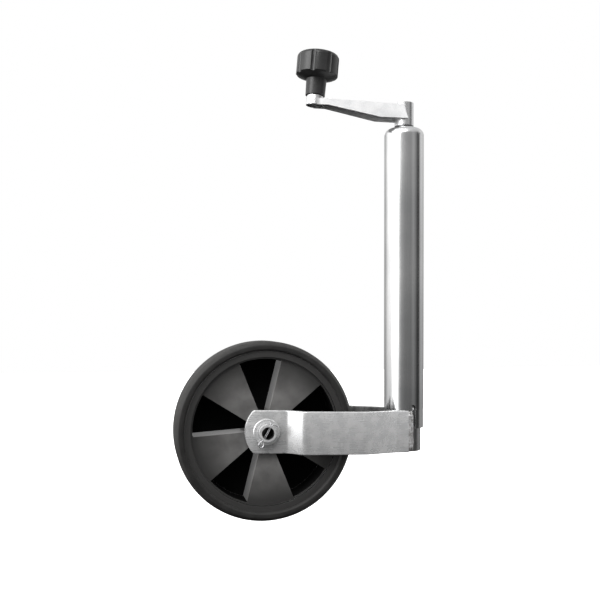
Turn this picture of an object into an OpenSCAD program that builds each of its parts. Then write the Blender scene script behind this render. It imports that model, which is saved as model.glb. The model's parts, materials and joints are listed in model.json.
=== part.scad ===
// Trailer jack wheel: a screw-driven telescopic tube with a forked wheel.
// Millimetres. The origin is on the tube's axis, halfway up the round wall that a clamp grips.
// +Z is up, and the wheel stands off towards -X.

/* [Outer tube] */
// outside diameter of the tube that the clamp grips
tube_diameter = 48; // [44:0.5:52]
// wall of the outer tube
tube_wall = 2.5; // [2:0.1:2.8]
// length of the full round wall
clamp_length = 332; // [300:1:360]
// radius of the rolled-in shoulder at the top
shoulder_radius = 9; // [8:0.5:10]
// how far the rear skirt hangs below the round wall
skirt_drop = 22.6; // [15:0.1:24]
// half of the angle that the rear skirt covers
skirt_half_angle = 72; // [60:1:72]
// how far the skirt's outside is set back from the round wall
skirt_relief = 0.3; // [0.3:0.1:0.6]
// radius of the rounded notches beside the skirt
notch_radius = 4.5; // [3:0.5:5]

/* [Leg and fork] */
// outside diameter of the inner tube
leg_diameter = 41; // [40.8:0.1:41]
// wall of the inner tube
leg_wall = 2.5; // [2:0.1:3]
// height of the fork's flat bar
bar_height = 50; // [44:1:52]
// thickness of the fork's flat bar
bar_thickness = 5; // [4:0.5:6]
// fall of the fork's arms from the axle to the tube, in degrees
fork_fall = 1.4; // [1.2:0.1:2]
// how far the arms step outwards around the tyre
fork_step = 13.7; // [12:0.1:18]

/* [Wheel] */
// distance of the axle from the tube's axis
axle_reach = 174.5; // [170:0.5:180]
// outside diameter of the tyre
wheel_diameter = 210; // [200:1:214]
// width of the tyre
tyre_width = 50; // [44:1:52]
// diameter of the tyre's seat on the rim
seat_diameter = 187; // [184:1:190]
// outside diameter of the axle tube
axle_diameter = 19.5; // [18:0.5:20]
// direction of the first closed sector, in degrees
first_sector = 58; // [0:1:71]

/* [Crank and handle] */
// distance of the handle from the spindle
crank_reach = 111.5; // [105:0.5:120]
// lean of the handle towards the tube, in degrees
handle_lean = 5; // [0:0.5:6]
// diameter of the knob over its lobes
knob_diameter = 50; // [46:0.5:54]
// number of lobes on the knob
lobe_count = 8; // [6:1:10]
// direction of the knob's first groove, in degrees
first_groove = 21; // [0:1:44]
// diameter of the spindle
spindle_diameter = 16; // [14:0.5:16]

/* [Hidden] */
$fn = 96;
run = 0.05;
nudge = 0.01;

clamp_top = clamp_length / 2;
clamp_low = -clamp_length / 2;
tube_r = tube_diameter / 2;
tube_bore_r = tube_r - tube_wall;
tube_top = clamp_top + shoulder_radius;
lip_r = tube_r - shoulder_radius;
skirt_low = clamp_low - skirt_drop;
skirt_edge_x = tube_r * cos(skirt_half_angle);
notch_rise = 6;

leg_r = leg_diameter / 2;
leg_bore_r = leg_r - leg_wall;
leg_top = clamp_top - 26;
leg_length = leg_top - clamp_low + 50.5;
leg_low = leg_top - leg_length;
guide_height = 12;

spindle_r = spindle_diameter / 2;
thread_depth = 1.4;
thread_pitch = 4;
thread_turns = 58;
thread_top = clamp_top - 26;
plate_thickness = 5;
plate_low = clamp_top - plate_thickness;
race_thickness = 3;
race_bore_r = spindle_r + 1;
race_r = 18.5;
ball_r = 3;
ball_circle_r = 13.7;
ball_count = 12;
ball_sink = 1;
ball_z = plate_low - race_thickness - ball_r + ball_sink;
collar_height = 6;
collar_top = ball_z - ball_r + ball_sink - race_thickness;
collar_low = collar_top - collar_height;
nut_height = 18;
nut_top = leg_top - 2;
nut_pin_r = 2.5;
nut_pin_z = nut_top - nut_height + 5;

axle_z = clamp_low - 21.6;
axle_r = axle_diameter / 2;
axle_bore_r = 7.2;
axle_half = 38.2;
arm_in = leg_r + 0.1;
arm_out = arm_in + bar_thickness;
ear_tip_x = -axle_reach - 24.8;
ear_corner_x = -axle_reach - 14.4;
ear_bend_x = -axle_reach + 25;
step_x = -axle_reach + 42.8;
taper_x = -axle_reach + 117.7;
parallel_x = -axle_reach + 156.4;
arm_end_x = -2.4;
ear_arc_r = 36;
weld_reach = 6.8;
hub_half = 19;
hub_r = 16;
washer_r = 15.5;
washer_thickness = 2.4;
split_pin_r = 1.6;
split_pin_y = axle_half - 4.2;
split_pin_tilt = 62;

seat_r = seat_diameter / 2;
wheel_r = wheel_diameter / 2;
rim_lip_r = 86.5;
pocket_r = 84.5;
rim_half = 22;
web_half = 18.5;
web_thickness = 3;
sector_count = 5;
sector_angle = 180 / sector_count;
tyre_shoulder_r = 5;
bush_r = 12;

hub_low = tube_top + 3.2;
hub_top = hub_low + 27.8;
hub_outer_r = 11.5;
spindle_top = hub_top - 1.5;
sheet = 2;
channel_top = hub_top - 3.8;
channel_rise = 2.6;
channel_half = hub_outer_r + sheet;
channel_tip_half = 10;
wall_low = hub_low + 7.4;
wall_bend_x = -34;
wall_tip_x = -97;
wall_tip_low = wall_low + 11.6;
boss_r = 10;
boss_top = hub_top + 2.3;
boss_height = 10.5;
handle_pin_r = 5;
handle_pin_length = 38;
knob_base = 1.3;
stem_height = 19.2;
stem_r = 12.25;
stem_tip_r = 11.65;
head_low = knob_base + stem_height;
head_height = 30;
head_top = head_low + head_height;
underside_rise = 4;
knob_r = knob_diameter / 2;
knob_round = 5;
cavity_r = 9;
cavity_low = 31;
cap_thickness = 3;
groove_r = 3.6;
cross_pin_r = 2;
cross_pin_z = hub_low + 18;

zinc = [0.78, 0.79, 0.80];
steel = [0.62, 0.63, 0.65];
black = [0.08, 0.08, 0.09];
rubber = [0.12, 0.12, 0.12];
bronze = [0.72, 0.55, 0.30];
nylon = [0.88, 0.87, 0.80];

// ---- shared shapes ----

// a ring from radius a to radius b, standing on height z
module ring(a, b, z, height) {
    translate([0, 0, z])
    difference() {
        cylinder(r = b, h = height);
        translate([0, 0, -1]) cylinder(r = a, h = height + 2);
    }
}

// a solid disc of radius r, standing on height z
module disc(r, z, height) {
    translate([0, 0, z]) cylinder(r = r, h = height);
}

// moves children from the wheel's own frame, spinning about local Z, to the axle
module at_axle() {
    translate([-axle_reach, 0, axle_z]) rotate([90, 0, 0]) children();
}

// moves children from the handle's own frame, turning about local Z, to the crank's end
module at_handle() {
    translate([-crank_reach, 0, boss_top]) rotate([0, handle_lean, 0]) children();
}

// children on both sides of the fork's middle plane
module both_sides() {
    children();
    mirror([0, 1, 0]) children();
}

// points of an arc about c from angle a to angle b
function arc(c, r, a, b, steps = 16) =
    [for (i = [0:steps]) c + r * [cos(a + (b - a) * i / steps), sin(a + (b - a) * i / steps)]];

// ---- outer tube and bearing ----

module outer_tube() {
    color(zinc)
    difference() {
        rotate_extrude() {
            translate([tube_bore_r, clamp_low]) square([tube_wall, clamp_length]);
            translate([tube_bore_r, skirt_low]) square([tube_wall - skirt_relief, skirt_drop + 1]);
            rolled_shoulder();
        }
        translate([0, 0, skirt_low - 1])
        linear_extrude(height = skirt_drop + 1) skirt_cut();
        skirt_notches();
    }
}

// one rounded notch on each side, where the skirt leaves the round wall
module skirt_notches() {
    translate([skirt_edge_x - notch_radius, 0, clamp_low + notch_rise - notch_radius])
    rotate([90, 0, 0])
    cylinder(r = notch_radius, h = 4 * tube_r, center = true);
}

// the part of the plan, towards the wheel, that has no skirt
module skirt_cut() {
    far = 2 * tube_r;
    side = far * sin(skirt_half_angle);
    ahead = far * cos(skirt_half_angle);
    polygon([[0, 0], [ahead, side], [ahead, far], [-far, far], [-far, -far], [ahead, -far],
             [ahead, -side]]);
}

// the outline of the tube's wall where it rolls inwards
module rolled_shoulder() {
    translate([lip_r, clamp_top])
    intersection() {
        difference() {
            circle(r = shoulder_radius);
            circle(r = shoulder_radius - tube_wall);
        }
        square(shoulder_radius);
    }
}

module top_plate() {
    color(steel)
    difference() {
        union() {
            disc(tube_bore_r - run, plate_low, plate_thickness);
            disc(lip_r - 0.6, clamp_top, shoulder_radius + 0.8);
        }
        disc(spindle_r + run, plate_low - 1, plate_thickness + shoulder_radius + 3);
    }
}

// the ring of space that the balls roll in
module ball_track() {
    translate([0, 0, ball_z])
    rotate_extrude() translate([ball_circle_r, 0]) circle(r = ball_r + run, $fn = 48);
}

module race_upper() {
    color(steel)
    difference() {
        ring(race_bore_r, race_r, plate_low - race_thickness, race_thickness);
        ball_track();
    }
}

module race_lower() {
    color(steel)
    difference() {
        ring(spindle_r + run, race_r, collar_top, race_thickness);
        ball_track();
    }
}

module each_ball() {
    for (i = [0:ball_count - 1])
        rotate([0, 0, i * 360 / ball_count])
        translate([ball_circle_r, 0, ball_z])
        children();
}

module bearing_balls() {
    color(steel) each_ball() sphere(r = ball_r, $fn = 48);
}

module bearing_cage() {
    color(bronze)
    difference() {
        ring(ball_circle_r - ball_r - 0.6, ball_circle_r + ball_r + 0.6, ball_z - 1, 2);
        each_ball() cylinder(r = ball_r + run, h = 4, center = true, $fn = 48);
    }
}

module guide_lower() {
    color(nylon) ring(leg_r + run, tube_bore_r, clamp_low + 6, guide_height);
}

// ---- spindle and crank ----

// half of the threaded rod's outline, with a trapezoid groove for each turn
function thread_side() =
    [for (i = [0:thread_turns - 1], p = [[0, 0], [0.3, 0], [0.4, 1], [0.8, 1], [0.9, 0]])
        [spindle_r - thread_depth * p[1], thread_top - (i + p[0]) * thread_pitch]];

module spindle() {
    thread_low = thread_top - thread_turns * thread_pitch;
    color(steel)
    difference() {
        union() {
            rotate_extrude()
            polygon(concat([[0, thread_top], [spindle_r, thread_top]], thread_side(),
                           [[spindle_r - thread_depth, thread_low], [0, thread_low]]));
            disc(spindle_r, thread_top - nudge, spindle_top - thread_top + nudge);
        }
        cross_pin_hole();
    }
}

module spindle_collar() {
    color(steel) ring(spindle_r, race_r - 2, collar_low, collar_height);
}

module cross_pin_hole() {
    translate([0, 0, cross_pin_z])
    rotate([0, 90, 0])
    cylinder(r = cross_pin_r + run, h = 4 * hub_outer_r, center = true, $fn = 48);
}

module crank_hub() {
    color(zinc)
    difference() {
        disc(hub_outer_r, hub_low, hub_top - hub_low);
        disc(spindle_r, hub_low - 1, hub_top - hub_low + 2);
        cross_pin_hole();
    }
}

module crank_pin() {
    color(steel)
    translate([0, 0, cross_pin_z])
    rotate([0, 90, 0])
    cylinder(r = cross_pin_r, h = 2 * hub_outer_r - 0.6, center = true, $fn = 48);
}

// the channel seen from the side, with its top skin thinned by inset
module channel_side(inset) {
    polygon([[-crank_reach, wall_tip_low], [wall_tip_x, wall_tip_low], [wall_bend_x, wall_low],
             [1, wall_low], [-5, channel_top - inset],
             [-crank_reach, channel_top + channel_rise - inset]]);
}

// the channel seen from above, with its walls thinned by inset
module channel_plan(inset) {
    polygon([[-crank_reach, -channel_tip_half + inset], [4, -channel_half + inset],
             [4, channel_half - inset], [-crank_reach, channel_tip_half - inset]]);
}

module channel_block(side_inset, plan_inset) {
    intersection() {
        rotate([90, 0, 0])
        linear_extrude(height = 40, center = true) channel_side(side_inset);
        linear_extrude(height = 2 * hub_top) channel_plan(plan_inset);
    }
}

module crank_arm() {
    color(zinc)
    difference() {
        union() {
            channel_block(0, 0);
            at_handle() disc(boss_r, -boss_height, boss_height);
        }
        difference() {
            translate([0, 0, -sheet]) channel_block(0, sheet);
            at_handle() disc(boss_r, -boss_height - 3, boss_height + 3);
        }
        at_handle() disc(boss_r - sheet, -2 * boss_height, 2 * boss_height - sheet);
        at_handle() disc(handle_pin_r, -boss_height, 2 * boss_height);
        disc(hub_outer_r, 0, 2 * hub_top);
    }
}

module crank_welds() {
    color(zinc)
    both_sides()
    difference() {
        translate([-8.6, channel_half - sheet - 2.6, wall_low + 0.3]) cylinder(r = 2.4, h = 9);
        disc(hub_outer_r, 0, 2 * hub_top);
        difference() {
            channel_block(0, 0);
            translate([0, 0, -sheet]) channel_block(0, sheet);
        }
    }
}

module handle_pin() {
    color(steel)
    at_handle() {
        disc(handle_pin_r, -sheet - nudge, handle_pin_length + sheet + nudge);
        disc(handle_pin_r + 1.6, -sheet - 2.4, 2.4);
    }
}

module handle_washer() {
    color(steel) at_handle() ring(handle_pin_r, boss_r - 1, 0, knob_base - 0.2);
}

module handle_clip() {
    color(steel) at_handle() ring(handle_pin_r, cavity_r - 1.5, cavity_low + 1, 1.5);
}

// the lobed outline of the knob's head
module knob_outline() {
    difference() {
        circle(r = knob_r);
        for (i = [0:lobe_count - 1])
            rotate(first_groove + i * 360 / lobe_count)
            translate([knob_r + groove_r / 2, 0]) circle(r = groove_r, $fn = 32);
    }
}

// the knob's lobed head, with an underside that rises from the stem to the rim
module knob_head() {
    rim_low = head_low + underside_rise;
    intersection() {
        translate([0, 0, head_low]) linear_extrude(height = head_height) knob_outline();
        rotate_extrude()
        polygon(concat([[0, head_low], [stem_r, head_low], [knob_r - 1, rim_low],
                        [knob_r, rim_low + 1]],
                       arc([knob_r - knob_round, head_top - knob_round], knob_round, 0, 78),
                       [[0, head_top]]));
    }
}

module handle_knob() {
    color(black)
    at_handle()
    difference() {
        union() {
            knob_head();
            translate([0, 0, knob_base])
            cylinder(r1 = stem_tip_r, r2 = stem_r, h = stem_height + 1);
        }
        disc(handle_pin_r + run, 0, cavity_low + 1);
        disc(cavity_r, cavity_low, head_top);
    }
}

module knob_cap() {
    color(black)
    at_handle()
    disc(cavity_r - run, head_top - cap_thickness - 1, cap_thickness);
}

// ---- leg ----

module nut_pin_pair(r, reach) {
    translate([0, 0, nut_pin_z])
    rotate([90, 0, 0])
    cylinder(r = r, h = 2 * reach, center = true, $fn = 48);
}

module leg_tube() {
    color(zinc)
    difference() {
        ring(leg_bore_r, leg_r, leg_low, leg_length);
        nut_pin_pair(nut_pin_r + run, 2 * leg_r);
    }
}

module guide_upper() {
    color(nylon) ring(leg_r, tube_bore_r - run, leg_top - guide_height, guide_height);
}

module spindle_nut() {
    color(bronze)
    difference() {
        ring(spindle_r + run, leg_bore_r - run, nut_top - nut_height, nut_height);
        nut_pin_pair(nut_pin_r + run, 2 * leg_r);
    }
}

module nut_pins() {
    color(steel)
    difference() {
        nut_pin_pair(nut_pin_r, leg_r - 0.5);
        nut_pin_pair(nut_pin_r + 1, spindle_r + 2.5);
    }
}

// ---- fork, axle and wheel ----

// one fork arm's bent bar from above, on the far side
module arm_plan() {
    polygon([[ear_tip_x, arm_in], [ear_bend_x, arm_in], [step_x, arm_in + fork_step],
             [taper_x, arm_in + fork_step], [parallel_x, arm_in], [arm_end_x, arm_in],
             [arm_end_x, arm_out], [parallel_x, arm_out], [taper_x, arm_out + fork_step],
             [step_x, arm_out + fork_step], [ear_bend_x, arm_out], [ear_tip_x, arm_out]]);
}

// the bar seen from the side, with an arc on its ear
module arm_side() {
    half = bar_height / 2;
    intersection() {
        translate([-axle_reach, 0])
        rotate(-fork_fall)
        translate([ear_tip_x + axle_reach, -half])
        square([2 * axle_reach, bar_height]);
        union() {
            translate([ear_tip_x + ear_arc_r, 0]) circle(r = ear_arc_r);
            translate([-axle_reach, -bar_height]) square([2 * axle_reach, 2 * bar_height]);
        }
    }
}

// one fork arm on the far side
module arm_bar() {
    difference() {
        intersection() {
            translate([0, 0, axle_z - bar_height])
            linear_extrude(height = 2 * bar_height) arm_plan();
            translate([0, 0, axle_z])
            rotate([90, 0, 0])
            linear_extrude(height = 4 * tyre_width, center = true) arm_side();
        }
        at_axle() cylinder(r = axle_r + 0.1, h = 4 * tyre_width, center = true);
    }
}

module fork_arm_far() {
    color(zinc) arm_bar();
}

module fork_arm_near() {
    color(zinc) mirror([0, 1, 0]) arm_bar();
}

module fork_welds() {
    fall = (axle_reach + arm_end_x) * tan(fork_fall);
    weld_low = axle_z - bar_height / 2 - fall + 1;
    weld_height = bar_height - 2;
    color(zinc)
    both_sides()
    difference() {
        translate([0, 0, weld_low])
        linear_extrude(height = weld_height) {
            polygon([[arm_end_x, arm_in - 1], [arm_end_x, arm_out - 0.4],
                     [arm_end_x + weld_reach * 0.5, arm_out - 1.4],
                     [arm_end_x + weld_reach, leg_r - 1.4]]);
            polygon([[-5, arm_in], [-11, arm_in], [-11, leg_r - 4.5], [-6, leg_r - 3]]);
        }
        disc(leg_r, leg_low, leg_length);
    }
}

module axle_tube() {
    color(zinc)
    difference() {
        at_axle()
        translate([0, 0, -axle_half])
        ring(axle_bore_r, axle_r, 0, 2 * axle_half);
        both_sides() split_pin_shank(split_pin_r + run);
    }
}

module axle_washers() {
    color(zinc)
    both_sides()
    at_axle() ring(axle_r + 0.1, washer_r, arm_out + 0.1, washer_thickness);
}

module hub_spacers() {
    color(steel)
    both_sides()
    at_axle() ring(axle_r + 0.1, hub_r, hub_half + 0.3, arm_in - hub_half - 0.4);
}

// the straight part of the near side's split pin, across the axle tube
module split_pin_shank(r) {
    at_axle()
    translate([0, 0, split_pin_y])
    rotate([0, 0, split_pin_tilt])
    rotate([0, 90, 0])
    cylinder(r = r, h = 2 * (axle_r + 3), center = true, $fn = 32);
}

// the eye that stops the split pin, beside the axle tube
module split_pin_eye() {
    at_axle()
    translate([0, 0, split_pin_y])
    rotate([0, 0, split_pin_tilt])
    translate([-axle_r - 5.6, 0, 0])
    rotate_extrude($fn = 48) translate([2.6, 0]) circle(r = split_pin_r * 0.7, $fn = 24);
}

// the split pin's far end, bent over the axle tube
module split_pin_tail() {
    at_axle()
    translate([0, 0, split_pin_y])
    rotate([0, 0, split_pin_tilt])
    translate([axle_r + 2.2, 0, 0])
    rotate([0, 0, -70])
    rotate([0, 90, 0])
    cylinder(r = split_pin_r * 0.7, h = 8, $fn = 32);
}

module split_pins() {
    color(steel)
    both_sides() {
        split_pin_shank(split_pin_r);
        split_pin_eye();
        split_pin_tail();
    }
}

// half of the rim's outline: hub, web and lip
module rim_outline() {
    polygon([[bush_r, -hub_half], [hub_r, -hub_half], [hub_r, -web_half], [rim_lip_r, -web_half],
             [rim_lip_r, -rim_half], [seat_r, -rim_half], [seat_r, rim_half],
             [rim_lip_r, rim_half], [rim_lip_r, web_half], [hub_r, web_half],
             [hub_r, hub_half], [bush_r, hub_half]]);
}

// one open pocket in the web, from a closed floor up to height high
module pocket(direction, floor_z, high) {
    far = 2 * rim_lip_r;
    start = web_thickness / 2 / sin(sector_angle / 2);
    side = far * tan(sector_angle / 2);
    rotate([0, 0, direction])
    translate([0, 0, floor_z])
    linear_extrude(height = high - floor_z)
    intersection() {
        difference() {
            circle(r = pocket_r);
            circle(r = hub_r + 1);
        }
        translate([start, 0]) polygon([[0, 0], [far, -side], [far, side]]);
    }
}

module wheel_rim() {
    web_in = web_half - web_thickness;
    color(black)
    at_axle()
    difference() {
        rotate_extrude() rim_outline();
        for (i = [0:sector_count - 1]) {
            near = first_sector + 2 * i * sector_angle;
            pocket(near + sector_angle, -web_in, rim_half);
            pocket(near, -rim_half, web_in);
        }
    }
}

module tyre() {
    half = tyre_width / 2;
    color(rubber)
    at_axle()
    rotate_extrude()
    polygon(concat([[seat_r, -rim_half], [seat_r + 1.5, -half]],
                   arc([wheel_r - tyre_shoulder_r, -half + tyre_shoulder_r], tyre_shoulder_r,
                       -90, -12),
                   arc([wheel_r - tyre_shoulder_r, half - tyre_shoulder_r], tyre_shoulder_r,
                       12, 90),
                   [[seat_r + 1.5, half], [seat_r, rim_half]]));
}

module hub_bushes() {
    color(nylon)
    both_sides()
    at_axle() ring(axle_r + run, bush_r, 1, hub_half - 1);
}

outer_tube();
top_plate();
race_upper();
guide_lower();
bearing_cage();
bearing_balls();
race_lower();
spindle();
spindle_collar();
crank_hub();
crank_arm();
crank_welds();
crank_pin();
handle_pin();
handle_washer();
handle_clip();
handle_knob();
knob_cap();
leg_tube();
guide_upper();
spindle_nut();
nut_pins();
fork_arm_near();
fork_arm_far();
fork_welds();
axle_tube();
axle_washers();
hub_spacers();
split_pins();
wheel_rim();
tyre();
hub_bushes();
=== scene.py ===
"""Trailer jack wheel: materials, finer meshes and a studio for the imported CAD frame."""

import json
import math

import bmesh
import bpy
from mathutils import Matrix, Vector


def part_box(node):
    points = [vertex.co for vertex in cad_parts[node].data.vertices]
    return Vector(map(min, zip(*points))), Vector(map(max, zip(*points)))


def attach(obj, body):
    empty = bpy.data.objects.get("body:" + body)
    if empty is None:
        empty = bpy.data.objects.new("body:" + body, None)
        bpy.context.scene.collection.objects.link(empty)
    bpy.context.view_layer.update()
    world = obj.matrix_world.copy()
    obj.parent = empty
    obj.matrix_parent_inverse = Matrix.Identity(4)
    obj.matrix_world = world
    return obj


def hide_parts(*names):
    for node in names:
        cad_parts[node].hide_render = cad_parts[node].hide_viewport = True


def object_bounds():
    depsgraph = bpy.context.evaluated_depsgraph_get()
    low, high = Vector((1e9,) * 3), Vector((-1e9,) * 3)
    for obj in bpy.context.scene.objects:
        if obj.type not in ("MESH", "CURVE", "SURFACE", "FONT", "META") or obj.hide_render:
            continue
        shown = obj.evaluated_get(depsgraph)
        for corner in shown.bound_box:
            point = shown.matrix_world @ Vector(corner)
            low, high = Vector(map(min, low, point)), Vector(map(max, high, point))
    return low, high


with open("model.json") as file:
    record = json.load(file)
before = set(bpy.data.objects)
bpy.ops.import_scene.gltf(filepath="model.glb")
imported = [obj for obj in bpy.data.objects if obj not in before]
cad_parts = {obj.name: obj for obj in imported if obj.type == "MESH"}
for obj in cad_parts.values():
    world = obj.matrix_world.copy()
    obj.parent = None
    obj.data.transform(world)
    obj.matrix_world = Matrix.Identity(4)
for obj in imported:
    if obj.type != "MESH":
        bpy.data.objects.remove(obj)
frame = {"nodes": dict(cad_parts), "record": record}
cad_low, cad_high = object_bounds()

MM = 0.001
RECORD = frame["record"]
BODY_OF = {node: body for body, nodes in RECORD["behaviour"]["bodies"].items() for node in nodes}
SLOT_OF = {part["node"]: part["material_slot"] for part in RECORD["subparts"]}


def middle(node):
    low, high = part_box(node)
    return (low + high) / 2


def half_size(node):
    low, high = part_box(node)
    return (high - low) / 2


AXLE = middle("axle_tube")
AXLE_RADIUS = half_size("axle_tube").x
AXLE_HALF = half_size("axle_tube").y
WHEEL_RADIUS = half_size("tyre").x
TYRE_HALF = half_size("tyre").y
SEAT_RADIUS = half_size("wheel_rim").x
RIM_HALF = half_size("wheel_rim").y
LEG_RADIUS = half_size("leg_tube").x
HUB_RADIUS = half_size("crank_hub").x
BOSS_X = middle("handle_washer").x
SHOULDER_LOW = RECORD["mounts"][0]["dims"]["length_mm"] / 2 * MM
RANGE_OF = {joint["name"]: joint.get("range_m") for joint in RECORD["behaviour"]["joints"]}
LEG_TRAVEL = RANGE_OF["leg_slide"][1]
# sizes that no box gives: the axle's bore, the rim's pockets and lip, the crank's round end
BORE_RADIUS = AXLE_RADIUS - 2.2 * MM
POCKET_RADIUS = SEAT_RADIUS - 9 * MM
LIP_WIDTH = 2 * MM
LIP_DEPTH = 5 * MM
BOSS_RADIUS = 10 * MM

# ---------------------------------------------------------------- materials

# the part of a noise's range that is stretched to run from 0 to 1
WIDE = (0.3, 0.7)
NARROW = (0.35, 0.65)
# how far a noise is drawn out along X, Y and Z
EVEN = (1, 1, 1)
ALONG_Z = (1, 1, 60)
ALONG_X = (30, 1, 1)
ROUND_Z = (40, 40, 1)
# the Mix node's sockets for colours
MIX_FIRST = 6
MIX_SECOND = 7
MIX_RESULT = 2
SPECULAR = "Specular IOR Level"


class Shader:
    """A material with a Principled shader and short calls for its nodes."""

    def __init__(self, name, colour, metallic, roughness):
        self.material = bpy.data.materials.new(name)
        self.material.use_nodes = True
        self.tree = self.material.node_tree
        self.shader = self.tree.nodes["Principled BSDF"]
        self.put("Base Color", (*colour, 1))
        self.put("Metallic", metallic)
        self.put("Roughness", roughness)
        coordinates = self.tree.nodes.new("ShaderNodeTexCoord")
        self.place = coordinates.outputs["Object"]
        self.facing = coordinates.outputs["Normal"]

    def node(self, kind, **settings):
        made = self.tree.nodes.new(kind)
        for key, value in settings.items():
            setattr(made, key, value)
        return made

    def link(self, source, target):
        self.tree.links.new(source, target)

    def put(self, name, value):
        """Sets one of the Principled shader's inputs to a constant."""
        self.shader.inputs[name].default_value = value

    def feed(self, name, socket):
        """Links a socket to one of the Principled shader's inputs."""
        self.link(socket, self.shader.inputs[name])

    def fed(self, name):
        """The socket that feeds one of the Principled shader's inputs."""
        return self.shader.inputs[name].links[0].from_socket

    def noise(self, size_mm, detail=3.0, stretch=EVEN):
        """Noise with features about size_mm across, drawn out by stretch."""
        mapping = self.node("ShaderNodeMapping")
        mapping.inputs["Scale"].default_value = [1 / s for s in stretch]
        self.link(self.place, mapping.inputs["Vector"])
        noise = self.node("ShaderNodeTexNoise")
        noise.inputs["Scale"].default_value = 1 / (size_mm * MM)
        noise.inputs["Detail"].default_value = detail
        self.link(mapping.outputs["Vector"], noise.inputs["Vector"])
        return noise.outputs["Fac"]

    def remap(self, value, from_low, from_high, to_low, to_high):
        remap = self.node("ShaderNodeMapRange")
        for key, number in (("From Min", from_low), ("From Max", from_high),
                            ("To Min", to_low), ("To Max", to_high)):
            remap.inputs[key].default_value = number
        self.link(value, remap.inputs["Value"])
        return remap.outputs["Result"]

    def patches(self, size_mm, detail=3.0, spread=NARROW):
        """Patches about size_mm across, running from 0 to 1."""
        return self.remap(self.noise(size_mm, detail), *spread, 0, 1)

    def math(self, operation, first, second=None):
        made = self.node("ShaderNodeMath", operation=operation)
        for socket, value in zip(made.inputs, (first, second)):
            if isinstance(value, (int, float)):
                socket.default_value = value
            elif value is not None:
                self.link(value, socket)
        return made.outputs[0]

    def blend(self, factor, first, second):
        """A colour between two, each a plain colour or a socket."""
        mix = self.node("ShaderNodeMix", data_type="RGBA")
        self.link(factor, mix.inputs["Factor"])
        for socket, value in ((mix.inputs[MIX_FIRST], first), (mix.inputs[MIX_SECOND], second)):
            if isinstance(value, tuple):
                socket.default_value = (*value, 1)
            else:
                self.link(value, socket)
        return mix.outputs[MIX_RESULT]

    def bump(self, height, depth_mm, strength=1.0):
        bump = self.node("ShaderNodeBump")
        bump.inputs["Distance"].default_value = depth_mm * MM
        bump.inputs["Strength"].default_value = strength
        self.link(height, bump.inputs["Height"])
        self.feed("Normal", bump.outputs["Normal"])

    def colour(self, socket):
        self.feed("Base Color", socket)

    def rough(self, socket):
        self.feed("Roughness", socket)

    def part(self, vector, axis):
        """One part, X, Y or Z, of a vector socket."""
        split = self.node("ShaderNodeSeparateXYZ")
        self.link(vector, split.inputs[0])
        return split.outputs[axis]

    def unsigned(self, socket):
        """The number without its sign."""
        return self.math("ABSOLUTE", socket)

    def distance(self, centre, axes):
        """Distance from centre along the axes marked 1, in metres."""
        away = self.node("ShaderNodeVectorMath", operation="SUBTRACT")
        away.inputs[1].default_value = centre
        flat = self.node("ShaderNodeVectorMath", operation="MULTIPLY")
        flat.inputs[1].default_value = axes
        length = self.node("ShaderNodeVectorMath", operation="LENGTH")
        self.link(self.place, away.inputs[0])
        self.link(away.outputs["Vector"], flat.inputs[0])
        self.link(flat.outputs["Vector"], length.inputs[0])
        return length.outputs["Value"]

    def radius_from_axle(self):
        return self.distance(AXLE, (1, 0, 1))


def grey(level, warm=0.0):
    """A grey, a touch warmer or cooler."""
    return (level * (1 + warm), level, level * (1 - warm))


def zinc_shader(name, tone, roughness, cloud_mm, depth_mm, grain=EVEN, metallic=1.0):
    """Electroplated zinc: cloudy sheen, fine spangle and draw lines along the grain."""
    s = Shader(name, grey(tone, -0.008), metallic, roughness)
    clouds = s.patches(cloud_mm, 4, WIDE)
    spangle = s.patches(1.6, 2)
    lines = s.noise(0.9, 3, grain)
    cloudy = s.blend(clouds, grey(tone * 0.86, -0.012), grey(min(tone * 1.08, 0.98)))
    marks = s.math("ADD", spangle, s.remap(lines, *NARROW, 0, 1.6))
    s.colour(s.blend(s.math("MULTIPLY", marks, 0.16), cloudy, grey(tone * 0.72, 0.01)))
    s.rough(s.math("ADD", s.remap(clouds, 0, 1, roughness * 0.85, roughness * 1.2),
                   s.remap(lines, *WIDE, -0.04, 0.04)))
    s.bump(lines, depth_mm, 0.35)
    return s


def zinc(name, **look):
    return zinc_shader(name, **look).material


def zinc_with_shaded_bore(name, **look):
    """Zinc, with painted shade inside the axle's bore: black, dull and not metallic; the pins that
    cross it stay bright.
    """
    s = zinc_shader(name, **look)
    # painted shade: the bore's inner wall is made black, dull and not metallic
    across = s.math("LESS_THAN", s.unsigned(s.part(s.facing, "Y")), 0.3)
    bore = s.math("MULTIPLY", across, s.math("LESS_THAN", s.radius_from_axle(), BORE_RADIUS))
    s.colour(s.blend(bore, s.fed("Base Color"), grey(0.01)))
    s.rough(s.math("MAXIMUM", s.fed("Roughness"), s.math("MULTIPLY", bore, 0.8)))
    s.feed("Metallic", s.remap(bore, 0, 1, look["metallic"], 0))
    return s.material


def zinc_on_crank(name, **look):
    """Dull zinc on the pressed arm, bright on its round ends, with painted shade, dark grey, on every
    face turned downwards, as inside the channel.
    """
    s = zinc_shader(name, **look)
    ends = [s.remap(s.distance((x, 0, 0), (1, 1, 0)), radius, radius + MM, 1, look["metallic"])
            for x, radius in ((0, HUB_RADIUS), (BOSS_X, BOSS_RADIUS))]
    s.feed("Metallic", s.math("MAXIMUM", *ends))
    # painted shade: faces turned downwards are painted dark grey
    under = s.math("LESS_THAN", s.part(s.facing, "Z"), -0.5)
    s.colour(s.blend(under, s.fed("Base Color"), grey(0.14)))
    return s.material


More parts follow.
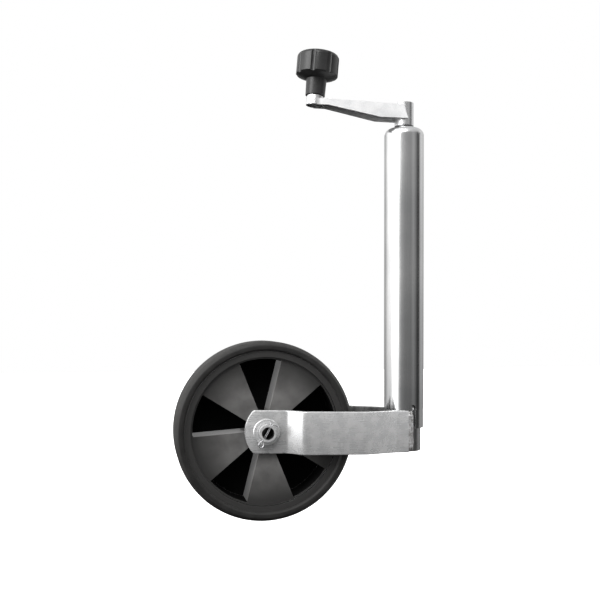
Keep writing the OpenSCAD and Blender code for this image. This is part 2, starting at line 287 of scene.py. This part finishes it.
def zinc_on_fork(name, **look):
    """Zinc with painted shade, darker in patches, on the faces turned to the tyre."""
    s = zinc_shader(name, **look)
    outward = s.math("MULTIPLY", s.part(s.place, "Y"), s.part(s.facing, "Y"))
    inner = s.math("LESS_THAN", outward, -15 * MM)
    # painted shade: the faces turned to the tyre are darkened, in uneven patches
    dust_and_shade = s.math("MULTIPLY", inner, s.remap(s.noise(9), *WIDE, 0.75, 1))
    s.colour(s.blend(dust_and_shade, s.fed("Base Color"), grey(0.06)))
    return s.material


def zinc_on_tube(name, **look):
    """Drawn zinc tube, duller where its top was rolled inwards."""
    s = zinc_shader(name, **look)
    rolled = s.remap(s.part(s.place, "Z"), SHOULDER_LOW - 2 * MM, SHOULDER_LOW + 4 * MM, 0, 0.2)
    s.rough(s.math("ADD", s.fed("Roughness"), rolled))
    return s.material


def weld_metal(name):
    """Plated weld bead: dull, with darker heat-stained patches."""
    s = Shader(name, grey(0.5), 0.6, 0.42)
    stains = s.patches(4)
    s.colour(s.blend(stains, (0.30, 0.29, 0.28), (0.66, 0.66, 0.67)))
    s.rough(s.remap(stains, 0, 1, 0.5, 0.3))
    s.bump(s.noise(1.1), 0.25, 0.7)
    return s.material


def machined_steel(name):
    """Turned steel: fine rings of tool marks and a light film of oil."""
    s = Shader(name, grey(0.6), 1.0, 0.28)
    film = s.patches(9)
    s.colour(s.blend(film, (0.52, 0.52, 0.53), (0.68, 0.68, 0.69)))
    s.rough(s.remap(film, 0, 1, 0.34, 0.2))
    s.bump(s.noise(0.5, 2, ROUND_Z), 0.02, 0.4)
    return s.material


def cast_bronze(name):
    """Turned bronze with tarnished patches."""
    s = Shader(name, (0.72, 0.5, 0.26), 1.0, 0.32)
    tarnish = s.patches(6, 4, (0.35, 0.7))
    s.colour(s.blend(tarnish, (0.74, 0.53, 0.28), (0.45, 0.31, 0.17)))
    s.rough(s.remap(tarnish, 0, 1, 0.26, 0.45))
    s.bump(s.noise(0.6, 2, ROUND_Z), 0.02, 0.4)
    return s.material


def natural_nylon(name):
    """Off-white nylon with a waxy mottle."""
    s = Shader(name, (0.82, 0.8, 0.72), 0.0, 0.45)
    mottle = s.patches(5, 3, WIDE)
    s.colour(s.blend(mottle, (0.76, 0.73, 0.64), (0.86, 0.84, 0.77)))
    s.rough(s.remap(mottle, 0, 1, 0.38, 0.52))
    s.bump(s.noise(0.8, 2), 0.03, 0.4)
    return s.material


def moulded_black(name, tone, roughness, warm, specular):
    """Black moulded plastic with a fine spark-eroded grain and patchy flow marks."""
    s = Shader(name, grey(tone, warm), 0.0, roughness)
    s.put(SPECULAR, specular)
    flow = s.patches(22)
    s.colour(s.blend(flow, grey(tone * 0.8, warm), grey(tone * 1.25, warm)))
    grain = s.noise(0.45)
    s.rough(s.math("ADD", s.remap(flow, 0, 1, roughness * 0.9, roughness * 1.12),
                   s.remap(grain, *WIDE, -0.05, 0.05)))
    s.bump(grain, 0.05, 0.5)
    return s


def knob_plastic(name):
    return moulded_black(name, 0.025, 0.30, 0.0, 0.35).material


def rim_plastic(name):
    """The rim's plastic: lighter round the hub, darker outwards, with painted shade, black and
    without shine, deep in its pockets.
    """
    shine = 0.5
    s = moulded_black(name, 0.12, 0.34, 0.02, shine)
    # painted shade: the pockets' floors and outer walls are made black, with no shine, where shade
    # falls deep in the pockets
    sideways = s.unsigned(s.part(s.facing, "Y"))
    inside = s.math("LESS_THAN", s.unsigned(s.part(s.place, "Y")), RIM_HALF - LIP_DEPTH)
    floor = s.math("MULTIPLY", inside, s.math("GREATER_THAN", sideways, 0.9))
    radius = s.radius_from_axle()
    off_wall = s.unsigned(s.math("SUBTRACT", radius, POCKET_RADIUS + LIP_WIDTH / 2))
    wall = s.math("MULTIPLY", s.math("LESS_THAN", off_wall, LIP_WIDTH),
                  s.math("LESS_THAN", sideways, 0.5))
    pocket_shade = s.math("MAXIMUM", floor, wall)
    # the rim's plastic is lighter round the hub and darker outwards
    outward = s.remap(radius, 45 * MM, 80 * MM, 0, 1)
    darker_outwards = s.blend(outward, s.fed("Base Color"), grey(0.035, 0.02))
    s.colour(s.blend(pocket_shade, darker_outwards, grey(0.006)))
    s.feed(SPECULAR, s.remap(pocket_shade, 0, 1, shine, 0.0))
    s.rough(s.math("MAXIMUM", s.fed("Roughness"), pocket_shade))
    return s.material


def tyre_rubber(name):
    """Solid rubber: matt, dusty on the tread, with faint moulding rings on the walls."""
    s = Shader(name, grey(0.02), 0.0, 0.7)
    s.put(SPECULAR, 0.35)
    radius = s.radius_from_axle()
    tread = s.remap(radius, WHEEL_RADIUS - 5 * MM, WHEEL_RADIUS - 1.5 * MM, 0, 1)
    # the tread is lighter with dust; no shade is painted on it
    dust_and_shade = s.math("MULTIPLY", tread, s.remap(s.noise(7, 4), *WIDE, 0.4, 1))
    mottle = s.patches(14, 4, WIDE)
    rubber = s.blend(mottle, grey(0.011, 0.03), grey(0.02, 0.03))
    s.colour(s.blend(dust_and_shade, rubber, grey(0.04, 0.03)))
    ring_gap = 1.1 * MM
    rings = s.math("SINE", s.math("MULTIPLY", radius, 2 * math.pi / ring_gap))
    s.rough(s.remap(mottle, 0, 1, 0.55, 0.72))
    s.bump(s.math("ADD", s.noise(0.7), s.math("MULTIPLY", rings, 0.12)), 0.1, 0.5)
    return s.material


MATERIALS = {
    "zinc_tube": zinc_on_tube("zinc_tube", tone=0.80, roughness=0.17, cloud_mm=60,
                              depth_mm=0.015, grain=ALONG_Z),
    "zinc_leg": zinc("zinc_leg", tone=0.62, roughness=0.28, cloud_mm=25, depth_mm=0.02,
                     grain=ALONG_Z),
    "zinc_fork": zinc_on_fork("zinc_fork", tone=0.70, roughness=0.27, cloud_mm=12,
                              depth_mm=0.006, grain=ALONG_X, metallic=0.5),
    "zinc_crank": zinc_on_crank("zinc_crank", tone=0.92, roughness=0.28, cloud_mm=18,
                                depth_mm=0.03, metallic=0.1),
    "zinc_small": zinc_with_shaded_bore("zinc_small", tone=0.80, roughness=0.26, cloud_mm=8,
                                      depth_mm=0.01, metallic=0.5),
    "weld": weld_metal("weld"),
    "plain_steel": machined_steel("plain_steel"),
    "brass": cast_bronze("brass"),
    "nylon": natural_nylon("nylon"),
    "rim_plastic": rim_plastic("rim_plastic"),
    "tyre_rubber": tyre_rubber("tyre_rubber"),
    "knob_plastic": knob_plastic("knob_plastic"),
}

# ---------------------------------------------------------------- making pieces

# points closer together than this, in metres, are one point
SAME_POINT = 1e-7
SAME_CAD_POINT = 1e-6
# faces this close to flat are one face, and edges sharper than these are creased or rounded
FLAT_ANGLE = math.radians(0.4)
SHARP_ANGLE = math.radians(40)
BEVEL_ANGLE = math.radians(32)
BEVEL_STEPS = 3
WIRE_STEPS = 4


def stand_in(piece, *nodes):
    """A finer piece in place of CAD nodes, on their body and with their material."""
    slot = SLOT_OF[nodes[0]]
    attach(piece, BODY_OF[nodes[0]])
    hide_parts(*nodes)
    piece.data.materials.clear()
    piece.data.materials.append(MATERIALS[slot])
    return piece


def new_mesh(name, points, faces, scale=MM):
    mesh = bpy.data.meshes.new(name)
    mesh.from_pydata([Vector(p) * scale for p in points], [], faces)
    piece = bpy.data.objects.new(name, mesh)
    bpy.context.scene.collection.objects.link(piece)
    tidied = bmesh.new()
    tidied.from_mesh(mesh)
    bmesh.ops.remove_doubles(tidied, verts=tidied.verts, dist=SAME_POINT)
    bmesh.ops.recalc_face_normals(tidied, faces=tidied.faces)
    tidied.to_mesh(mesh)
    tidied.free()
    mesh.shade_smooth()
    return piece


def rounded(piece, width_mm):
    """Rounds a piece's hard edges."""
    bevel = piece.modifiers.new("rounded", "BEVEL")
    bevel.width = width_mm * MM
    bevel.segments = BEVEL_STEPS
    bevel.limit_method = "ANGLE"
    bevel.angle_limit = BEVEL_ANGLE
    bevel.harden_normals = True
    return piece


def softened(node, width_mm):
    """A copy of a CAD node with its hard edges rounded."""
    work = bmesh.new()
    work.from_mesh(frame["nodes"][node].data)
    bmesh.ops.remove_doubles(work, verts=work.verts, dist=SAME_CAD_POINT)
    bmesh.ops.dissolve_limit(work, angle_limit=FLAT_ANGLE, verts=work.verts, edges=work.edges)
    points = [v.co.copy() for v in work.verts]
    faces = [[v.index for v in f.verts] for f in work.faces]
    work.free()
    return stand_in(rounded(new_mesh(node + "_soft", points, faces, 1), width_mm), node)


def lathe(name, outline, centre, segments):
    """A closed outline of (radius, height) turned about a line along Y through centre, in mm."""
    count = len(outline)
    points, faces = [], []
    for i in range(segments):
        turn = 2 * math.pi * i / segments
        for radius, across in outline:
            points.append((centre.x + radius * math.cos(turn), centre.y + across,
                           centre.z + radius * math.sin(turn)))
        for j in range(count):
            a, b = i * count + j, i * count + (j + 1) % count
            c, d = ((i + 1) % segments) * count + (j + 1) % count, ((i + 1) % segments) * count + j
            faces.append((a, b, c, d))
    return new_mesh(name, points, faces)


def arc_points(centre, radius, start, end, steps):
    """Points on an arc between two directions in degrees."""
    turns = [math.radians(start + (end - start) * i / steps) for i in range(steps + 1)]
    return [(centre[0] + radius * math.cos(turn), centre[1] + radius * math.sin(turn))
            for turn in turns]


def baked(piece):
    """Applies the piece's modifiers."""
    graph = bpy.context.evaluated_depsgraph_get()
    mesh = bpy.data.meshes.new_from_object(piece.evaluated_get(graph))
    piece.modifiers.clear()
    piece.data = mesh
    return piece


def wire(name, paths, radius_mm):
    """Round wire along each path of points in metres."""
    curve = bpy.data.curves.new(name, "CURVE")
    curve.dimensions = "3D"
    curve.bevel_depth = radius_mm * MM
    curve.bevel_resolution = WIRE_STEPS
    curve.resolution_u = WIRE_STEPS
    curve.use_fill_caps = True
    for path in paths:
        spline = curve.splines.new("NURBS")
        spline.points.add(len(path) - 1)
        for point, place in zip(spline.points, path):
            point.co = (*place, 1)
        spline.use_endpoint_u = True
        spline.order_u = 4
    bent = bpy.data.objects.new(name + "_curve", curve)
    bpy.context.scene.collection.objects.link(bent)
    graph = bpy.context.evaluated_depsgraph_get()
    piece = bpy.data.objects.new(name, bpy.data.meshes.new_from_object(bent.evaluated_get(graph)))
    piece.data.shade_smooth()
    bpy.context.scene.collection.objects.link(piece)
    bpy.data.objects.remove(bent)
    return piece


# ---------------------------------------------------------------- wheel

# The wheel is kept out of mirror reflections, so that the tube shows only the studio.
TYRE_STEPS = 200
RIM_SOFT_EDGE = 1.6


def make_tyre():
    """Solid tyre with chamfered shoulders, a moulding ridge and a bead seated on the rim."""
    seat, outer = SEAT_RADIUS / MM, WHEEL_RADIUS / MM
    half, rim = TYRE_HALF / MM, RIM_HALF / MM
    # radius and distance from the middle plane, from the bead out to the tread
    side = [(seat, rim), (seat + 0.7, rim + 1.0), (seat + 1.3, half - 0.8), (seat + 2.0, half - 0.15),
            (seat + 2.8, half), (outer - 6.0, half), (outer - 4.6, half - 0.1),
            (outer - 4.2, half - 0.35), (outer - 3.9, half - 1.0), (outer - 1.3, half - 4.4),
            (outer - 0.7, half - 5.4), (outer - 0.25, half - 7.0), (outer, half - 10)]
    outline = side + [(radius, -across) for radius, across in reversed(side)]
    tyre = stand_in(lathe("tyre_moulded", outline, AXLE / MM, TYRE_STEPS), "tyre")
    tyre.visible_glossy = False


def make_rim():
    rim = softened("wheel_rim", RIM_SOFT_EDGE)
    rim.visible_glossy = False


# ---------------------------------------------------------------- fork

# the flat bar, in mm
BAR_HALF = 2.5
BAR_HALF_HEIGHT = 25
BAR_EDGE = 1.2
EDGE_STEPS = 3
LEG_GAP = 0.1
# the ear's round end, and its length that has close sections
EAR_ARC = 36
EAR_LENGTH = 11
EAR_STEPS = 10
EAR_LEAST_HALF = 0.4
# where the bar bends ahead of the axle, and how far it steps outwards between the bends
FORK_BENDS = (25, 42.8, 117.7, 156.4)
FORK_STEP = 13.7
FORK_FALL = math.radians(1.4)
BEND_RADIUS = 9
BEND_STEPS = 7
SECTION_GAP = 6
SHORTEST_GAP = 0.5
# the drill for the axle's hole
BORE_CLEARANCE = 0.15
DRILL_CORE = 0.001
DRILL_REACH = 60
DRILL_STEPS = 64


def bent_path(corners, radius):
    """A line through the corners with each inner corner rounded."""
    path = [Vector(corners[0])]
    for before, at, after in zip(corners, corners[1:], corners[2:]):
        at = Vector(at)
        back, on = (Vector(before) - at).normalized(), (Vector(after) - at).normalized()
        half_turn = back.angle(on) / 2
        reach = radius / math.tan(half_turn)
        first, last = at + back * reach, at + on * reach
        for i in range(BEND_STEPS + 1):
            t = i / BEND_STEPS
            path.append(first * (1 - t) ** 2 + at * (2 * t * (1 - t)) + last * t ** 2)
    path.append(Vector(corners[-1]))
    return path


def with_stations(path, spacing):
    """The path with extra points so that no step is longer than spacing."""
    result = [path[0]]
    for start, end in zip(path, path[1:]):
        steps = max(1, math.ceil((end - start).length / spacing))
        result += [start.lerp(end, i / steps) for i in range(1, steps + 1)]
    return result


def bar_section(half_height):
    """Corners of the flat bar's rounded section, as (across, up)."""
    edge = min(BAR_EDGE, half_height / 2)
    corners = [(1, 1, 0), (-1, 1, 90), (-1, -1, 180), (1, -1, 270)]
    points = []
    for across, up, start in corners:
        centre = (across * (BAR_HALF - edge), up * (half_height - edge))
        points += arc_points(centre, edge, start, start + 90, EDGE_STEPS)
    return points


def fork_arm(name, side):
    """Flat bar bent around the tyre, with a rounded ear, on side -1 or +1 of the middle plane."""
    low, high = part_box("fork_arm_far")
    tip, end = low.x / MM, high.x / MM
    axle_x, axle_z = AXLE.x / MM, AXLE.z / MM
    near = LEG_RADIUS / MM + LEG_GAP + BAR_HALF
    wide = near + FORK_STEP
    bends = [axle_x + ahead for ahead in FORK_BENDS]
    corners = [(tip, near), *zip(bends, (near, wide, wide, near)), (end, near)]
    ear = [Vector((tip + EAR_LENGTH * (i / EAR_STEPS) ** 2, near)) for i in range(EAR_STEPS + 1)]
    bar = with_stations(bent_path(corners, BEND_RADIUS), SECTION_GAP)
    path = ear + [place for place in bar if place.x > ear[-1].x + SHORTEST_GAP]
    points, faces = [], []
    for i, place in enumerate(path):
        ahead = path[min(i + 1, len(path) - 1)] - path[max(i - 1, 0)]
        outward = Vector((-ahead.y, ahead.x)).normalized()
        into_ear = min(max(place.x - tip, 0), EAR_ARC)
        arc_half = math.sqrt(EAR_ARC ** 2 - (EAR_ARC - into_ear) ** 2)
        half = max(EAR_LEAST_HALF, min(BAR_HALF_HEIGHT, arc_half))
        middle_z = axle_z - (place.x - axle_x) * math.tan(FORK_FALL)
        for across, up in bar_section(half):
            spot = place + outward * across
            points.append((spot.x, side * spot.y, middle_z + up))
    count = len(bar_section(BAR_HALF_HEIGHT))
    for i in range(len(path) - 1):
        for j in range(count):
            k = (j + 1) % count
            faces.append((i * count + j, i * count + k, (i + 1) * count + k, (i + 1) * count + j))
    faces.append(tuple(range(count)))
    faces.append(tuple(range((len(path) - 1) * count, len(path) * count)))
    return new_mesh(name, points, faces)


def bore_for_axle(piece):
    """Cuts the axle's hole through a piece."""
    radius = AXLE_RADIUS / MM + BORE_CLEARANCE
    outline = [(DRILL_CORE, -DRILL_REACH), (radius, -DRILL_REACH), (radius, DRILL_REACH),
               (DRILL_CORE, DRILL_REACH)]
    drill = lathe("drill", outline, AXLE / MM, DRILL_STEPS)
    cut = piece.modifiers.new("bore", "BOOLEAN")
    cut.object = drill
    cut.solver = "EXACT"
    baked(piece)
    bpy.data.objects.remove(drill)
    piece.data.set_sharp_from_angle(angle=SHARP_ANGLE)
    return piece


def make_fork():
    for node, side in (("fork_arm_near", -1), ("fork_arm_far", 1)):
        stand_in(bore_for_axle(fork_arm(node + "_bent", side)), node)


# weld beads, in mm: their steps, their ripples and how far they stray
BEAD_SIDES = 12
BEAD_STEP = 0.45
LEAST_BEAD_STEPS = 8
RIPPLE_DEPTH = 0.13
RIPPLE_LENGTH = 1.9
# each wander's reach, and the radians it turns through along the bead
SLOW_WANDER = (0.25, 21.9)
FAST_WANDER = (0.15, 17)
BEAD_END_SIZE = 0.35
BEAD_END_RISE = 6
# the beads at each bar's end: beyond the end, out from the leg, half width
FORK_BEADS = ((1.4, 2.4, 2.6), (4.8, 0.5, 2.4))
# the bead inside the fork, between the bar and the leg
INNER_BEAD_X = -8.5
INNER_BEAD_INSET = 1.4
INNER_BEAD_SIZE = (2.0, 1.6)


def bead(name, runs):
    """Rippled weld beads. Each run is (start, end, half width, half height) in mm."""
    points, faces = [], []
    ring = BEAD_SIDES
    for start, end, width, height in runs:
        start, end = Vector(start), Vector(end)
        length = (end - start).length
        steps = max(LEAST_BEAD_STEPS, round(length / BEAD_STEP))
        along = (end - start).normalized()
        side = along.orthogonal().normalized()
        over = along.cross(side)
        base = len(points)
        for i in range(steps + 1):
            t = i / steps
            ripple = 1 + RIPPLE_DEPTH * abs(math.sin(math.pi * t * length / RIPPLE_LENGTH))
            wander = (SLOW_WANDER[0] * math.sin(SLOW_WANDER[1] * t + start.x)
                      + FAST_WANDER[0] * math.sin(FAST_WANDER[1] * t + start.y))
            taper = min(1, BEAD_END_SIZE + BEAD_END_RISE * min(t, 1 - t))
            size = ripple * taper
            centre = start.lerp(end, t) + side * wander
            for j in range(ring):
                turn = 2 * math.pi * j / ring
                points.append(centre + side * (width * size * math.cos(turn))
                              + over * (height * size * math.sin(turn)))
        for i in range(steps):
            for j in range(ring):
                k = (j + 1) % ring
                faces.append((base + i * ring + j, base + i * ring + k,
                              base + (i + 1) * ring + k, base + (i + 1) * ring + j))
        faces.append(tuple(range(base, base + ring)))
        faces.append(tuple(range(base + steps * ring, base + (steps + 1) * ring)))
    return new_mesh(name, points, faces)


def make_fork_welds():
    low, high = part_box("fork_welds")
    end_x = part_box("fork_arm_far")[1].x / MM
    bottom, top = low.z / MM, high.z / MM
    leg = LEG_RADIUS / MM
    runs = []
    for side in (-1, 1):
        for ahead, out, width in FORK_BEADS:
            runs.append(((end_x + ahead, side * (leg + out), bottom),
                         (end_x + ahead, side * (leg + out), top), width, width))
        inner = side * (leg - INNER_BEAD_INSET)
        runs.append(((INNER_BEAD_X, inner, bottom), (INNER_BEAD_X, inner, top), *INNER_BEAD_SIZE))
    stand_in(bead("fork_beads", runs), "fork_welds")


# ---------------------------------------------------------------- axle

WASHER_EDGE = 0.6
WASHER_CLEARANCE = 0.2
WASHER_GAP = 0.1
WASHER_STEPS = 96


def washer_outline(inner, outer, low, high):
    """A washer's section with chamfered edges, as (radius, height)."""
    edge = WASHER_EDGE
    return [(inner, low + edge), (inner + edge, low), (outer - edge, low), (outer, low + edge),
            (outer, high - edge), (outer - edge, high), (inner + edge, high), (inner, high - edge)]


def make_axle_washers():
    low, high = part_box("axle_washers")
    outer = (high.x - low.x) / 2 / MM
    inner_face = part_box("fork_arm_far")[0].y / MM + 2 * BAR_HALF + WASHER_GAP
    far = washer_outline(AXLE_RADIUS / MM + WASHER_CLEARANCE, outer, inner_face, high.y / MM)
    near = [(radius, -across) for radius, across in far]
    washers = [lathe(name, outline, AXLE / MM, WASHER_STEPS)
               for name, outline in (("washer_far", far), ("washer_near", near))]
    stand_in(joined("axle_washers_turned", washers), "axle_washers")


def joined(name, pieces):
    """One mesh piece from several."""
    work = bmesh.new()
    for piece in pieces:
        work.from_mesh(piece.data)
        bpy.data.objects.remove(piece)
    mesh = bpy.data.meshes.new(name)
    work.to_mesh(mesh)
    work.free()
    mesh.shade_smooth()
    mesh.set_sharp_from_angle(angle=SHARP_ANGLE)
    whole = bpy.data.objects.new(name, mesh)
    bpy.context.scene.collection.objects.link(whole)
    return whole


SPLIT_PIN_TILT = math.radians(62)
SPLIT_PIN_INSET = 4.2
PIN_WIRE = 0.75
# the eye, as distance outside the axle's surface and half the pin's width there
PIN_EYE = [(8.6, 0), (7.6, 2.6), (5.0, 3.3), (2.2, 2.0), (0.8, 0.75)]
# half the pin's width inside the axle, from this far under its surface
PIN_SHANK = 0.7
PIN_SHANK_INSET = 2
# the same as for the eye, where the pin comes out on the other side
PIN_EXIT = (0.4, 0.75)
# how far the bend is outside the axle, which is also half the pin's width there
PIN_BEND = 1.6
# beyond the bend, each leg's two rises, then its side and how far it spreads at each rise
PIN_RISES = (0.6, 0.2)
PIN_LEGS = ((-1, -5.5, -7.15), (1, 2.0, 1.2))


def make_split_pins():
    """Two-legged split pins: an eye on one side of the axle and spread legs on the other."""
    radius = AXLE_RADIUS / MM
    along = Vector((math.cos(SPLIT_PIN_TILT), 0, math.sin(SPLIT_PIN_TILT)))
    across = Vector((-along.z, 0, along.x))
    paths = []
    for side in (-1, 1):
        centre = AXLE / MM + Vector((0, side * (AXLE_HALF / MM - SPLIT_PIN_INSET), 0))
        for leg, *spreads in PIN_LEGS:
            steps = [(-radius - away, width) for away, width in PIN_EYE]
            steps += [(x, PIN_SHANK) for x in (PIN_SHANK_INSET - radius, 0,
                                               radius - PIN_SHANK_INSET)]
            steps.append((radius + PIN_EXIT[0], PIN_EXIT[1]))
            steps.append((radius + PIN_BEND, PIN_BEND))
            path = [centre + along * a + across * (leg * b) for a, b in steps]
            bend = centre + along * (radius + PIN_BEND)
            for rise, spread in zip(PIN_RISES, spreads):
                path.append(bend + along * rise + across * spread)
            paths.append([p * MM for p in path])
    stand_in(wire("split_pins_bent", paths, PIN_WIRE), "split_pins")


# ---------------------------------------------------------------- crank and tube

CRANK_BEAD = 1.8
CRANK_BEAD_INSET = 1.6
CRANK_BEAD_LEAN = 0.5


def make_crank_welds():
    low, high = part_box("crank_welds")
    x = middle("crank_welds").x / MM
    y = high.y / MM - CRANK_BEAD_INSET
    runs = [((x, side * y, low.z / MM), (x + CRANK_BEAD_LEAN, side * y, high.z / MM),
             CRANK_BEAD, CRANK_BEAD) for side in (-1, 1)]
    stand_in(bead("crank_beads", runs), "crank_welds")


# CAD nodes that only need their edges rounded, by this many mm
SOFT_EDGES = {
    "outer_tube": 0.5, "top_plate": 0.6, "leg_tube": 0.5, "crank_hub": 0.7, "crank_arm": 0.8,
    "handle_pin": 0.5, "handle_washer": 0.3, "handle_knob": 0.8, "knob_cap": 0.5,
    "axle_tube": 0.6, "spindle_collar": 0.5,
}


def make_soft_copies():
    for node, width in SOFT_EDGES.items():
        softened(node, width)


def finish_cad_nodes():
    """Gives every CAD node the material of its slot."""
    for name, node in frame["nodes"].items():
        node.data.materials.clear()
        node.data.materials.append(MATERIALS[SLOT_OF[name]])


# ---------------------------------------------------------------- studio

CAMERA_PLACE = Vector((-0.3211, -0.9438, -0.0597))
CAMERA_YAW = math.radians(11.46)
CAMERA_PITCH = math.radians(0.65)
CAMERA_LENS = 48.4
CAMERA_SENSOR = 36
CAMERA_SHIFT = 0.0507
# the surroundings as a horizontal circle: degrees to the right of the camera, then brightness
SURROUNDINGS = [
    (-180, 0.36), (-140, 0.36), (-118, 0.66), (-106, 1.0), (-75, 1.15), (-65, 3.2), (-40, 3.2),
    (-27, 0.62), (-15, 0.31), (5, 0.21), (30, 0.19), (42, 0.18), (56, 0.27), (72, 0.17),
    (86, 0.05), (97, 0.03), (109, 0.42), (120, 0.50), (150, 0.40), (180, 0.36),
]
GAIN_WITH_HEIGHT = 2.4
# brightness straight up and straight down, and the heights between which the circle gives way
OVERHEAD = (0.7, 0.30, 0.70)
BELOW = (0.05, -0.19, -0.32)
# name, place, target, size, watts, and whether it shows in reflections
LIGHTS = (
    ("soft_box", (-1.5, -0.9, 1.5), (-0.1, 0, 0), 1.6, 22, True),
    ("crank_light", (-0.45, -1.0, 1.1), (-0.05, 0, 0.25), 0.6, 11, True),
    ("fork_light", (0.56, -0.15, -0.20), (-0.04, -0.035, -0.19), 0.15, 4, False),
)
FLOOR_REACH = 6.0
FLOOR_GAP = 0.5 * MM


def make_camera():
    data = bpy.data.cameras.new("camera")
    data.lens = CAMERA_LENS
    data.sensor_width = CAMERA_SENSOR
    data.shift_y = CAMERA_SHIFT
    camera = bpy.data.objects.new("camera", data)
    camera.location = CAMERA_PLACE
    camera.rotation_euler = (math.pi / 2 - CAMERA_PITCH, 0, -CAMERA_YAW)
    bpy.context.scene.collection.objects.link(camera)
    bpy.context.scene.camera = camera


def make_floor():
    """A floor below the leg's full reach, which glows evenly white and lights nothing itself."""
    reach = FLOOR_REACH
    z = cad_low.z - LEG_TRAVEL - FLOOR_GAP
    corners = [(-reach, -reach, z), (reach, -reach, z), (reach, reach, z), (-reach, reach, z)]
    floor = new_mesh("floor", corners, [(0, 1, 2, 3)], 1)
    paint = Shader("floor_paint", grey(0.92), 0.0, 0.8)
    paint.colour(paint.blend(paint.noise(200, 2), grey(0.9), grey(0.94)))
    paint.put("Emission Color", (1, 1, 1, 1))
    paint.put("Emission Strength", 1.0)
    floor.data.materials.append(paint.material)
    floor.visible_glossy = False
    floor.visible_diffuse = False


def towards_level(tree, colour, factor, level):
    """The colour, moved by factor towards a grey level."""
    mix = tree.nodes.new("ShaderNodeMix")
    mix.data_type = "RGBA"
    mix.inputs[MIX_SECOND].default_value = (level, level, level, 1)
    tree.links.new(factor, mix.inputs["Factor"])
    tree.links.new(colour, mix.inputs[MIX_FIRST])
    return mix.outputs[MIX_RESULT]


def turn_from_camera(tree, direction):
    """How far a direction lies round from the camera, as 0 to 1 with the camera in the middle."""
    toward = Vector((CAMERA_PLACE.x, CAMERA_PLACE.y, 0)).normalized()
    right = Vector((-toward.y, toward.x, 0))
    turn = tree.nodes.new("ShaderNodeMath")
    turn.operation = "ARCTAN2"
    for axis, socket in zip((right, toward), turn.inputs):
        dot = tree.nodes.new("ShaderNodeVectorMath")
        dot.operation = "DOT_PRODUCT"
        dot.inputs[1].default_value = axis
        tree.links.new(direction, dot.inputs[0])
        tree.links.new(dot.outputs["Value"], socket)
    place = tree.nodes.new("ShaderNodeMapRange")
    place.inputs["From Min"].default_value = -math.pi
    place.inputs["From Max"].default_value = math.pi
    tree.links.new(turn.outputs[0], place.inputs["Value"])
    return place.outputs["Result"]


def circle_of_brightness(tree, direction):
    ramp = tree.nodes.new("ShaderNodeValToRGB")
    stops = ramp.color_ramp.elements
    for i, (degrees, level) in enumerate(SURROUNDINGS):
        where = (degrees + 180) / 360
        stop = stops[i] if i < 2 else stops.new(where)
        stop.position = where
        stop.color = (level, level, level, 1)
    tree.links.new(turn_from_camera(tree, direction), ramp.inputs["Fac"])
    return ramp.outputs["Color"]


def brighter_with_height(tree, colour, height):
    gain = tree.nodes.new("ShaderNodeMath")
    gain.operation = "MULTIPLY_ADD"
    gain.inputs[1].default_value = GAIN_WITH_HEIGHT
    gain.inputs[2].default_value = 1.0
    tree.links.new(height, gain.inputs[0])
    brighter = tree.nodes.new("ShaderNodeVectorMath")
    brighter.operation = "SCALE"
    tree.links.new(colour, brighter.inputs[0])
    tree.links.new(gain.outputs[0], brighter.inputs["Scale"])
    return brighter.outputs["Vector"]


def make_surroundings():
    """A soft studio all round: bright on the left, grey ahead, a dark gap on the right."""
    world = bpy.data.worlds.new("studio")
    bpy.context.scene.world = world
    world.use_nodes = True
    tree = world.node_tree
    tree.nodes.clear()
    direction = tree.nodes.new("ShaderNodeTexCoord").outputs["Generated"]
    split = tree.nodes.new("ShaderNodeSeparateXYZ")
    tree.links.new(direction, split.inputs[0])
    height = split.outputs["Z"]
    shade = brighter_with_height(tree, circle_of_brightness(tree, direction), height)
    for level, start, end in (OVERHEAD, BELOW):
        reach = tree.nodes.new("ShaderNodeMapRange")
        reach.inputs["From Min"].default_value = start
        reach.inputs["From Max"].default_value = end
        tree.links.new(height, reach.inputs["Value"])
        shade = towards_level(tree, shade, reach.outputs["Result"], level)
    camera_ray = tree.nodes.new("ShaderNodeLightPath").outputs["Is Camera Ray"]
    background = tree.nodes.new("ShaderNodeBackground")
    tree.links.new(towards_level(tree, shade, camera_ray, 1.0), background.inputs["Color"])
    output = tree.nodes.new("ShaderNodeOutputWorld")
    tree.links.new(background.outputs[0], output.inputs["Surface"])


def make_lights():
    """Soft lights above on the left and over the camera, and a low one for the fork's end."""
    for name, place, target, size, watts, mirrored in LIGHTS:
        light = bpy.data.lights.new(name, "AREA")
        light.size = size
        light.energy = watts
        lamp = bpy.data.objects.new(name, light)
        lamp.location = place
        lamp.visible_glossy = mirrored
        aim = Vector(target) - lamp.location
        lamp.rotation_euler = aim.to_track_quat("-Z", "Y").to_euler()
        bpy.context.scene.collection.objects.link(lamp)


def make_studio():
    bpy.context.scene.view_settings.view_transform = "Standard"
    make_camera()
    make_floor()
    make_surroundings()
    make_lights()


finish_cad_nodes()
make_tyre()
make_rim()
make_fork()
make_fork_welds()
make_axle_washers()
make_split_pins()
make_crank_welds()
make_soft_copies()
make_studio()
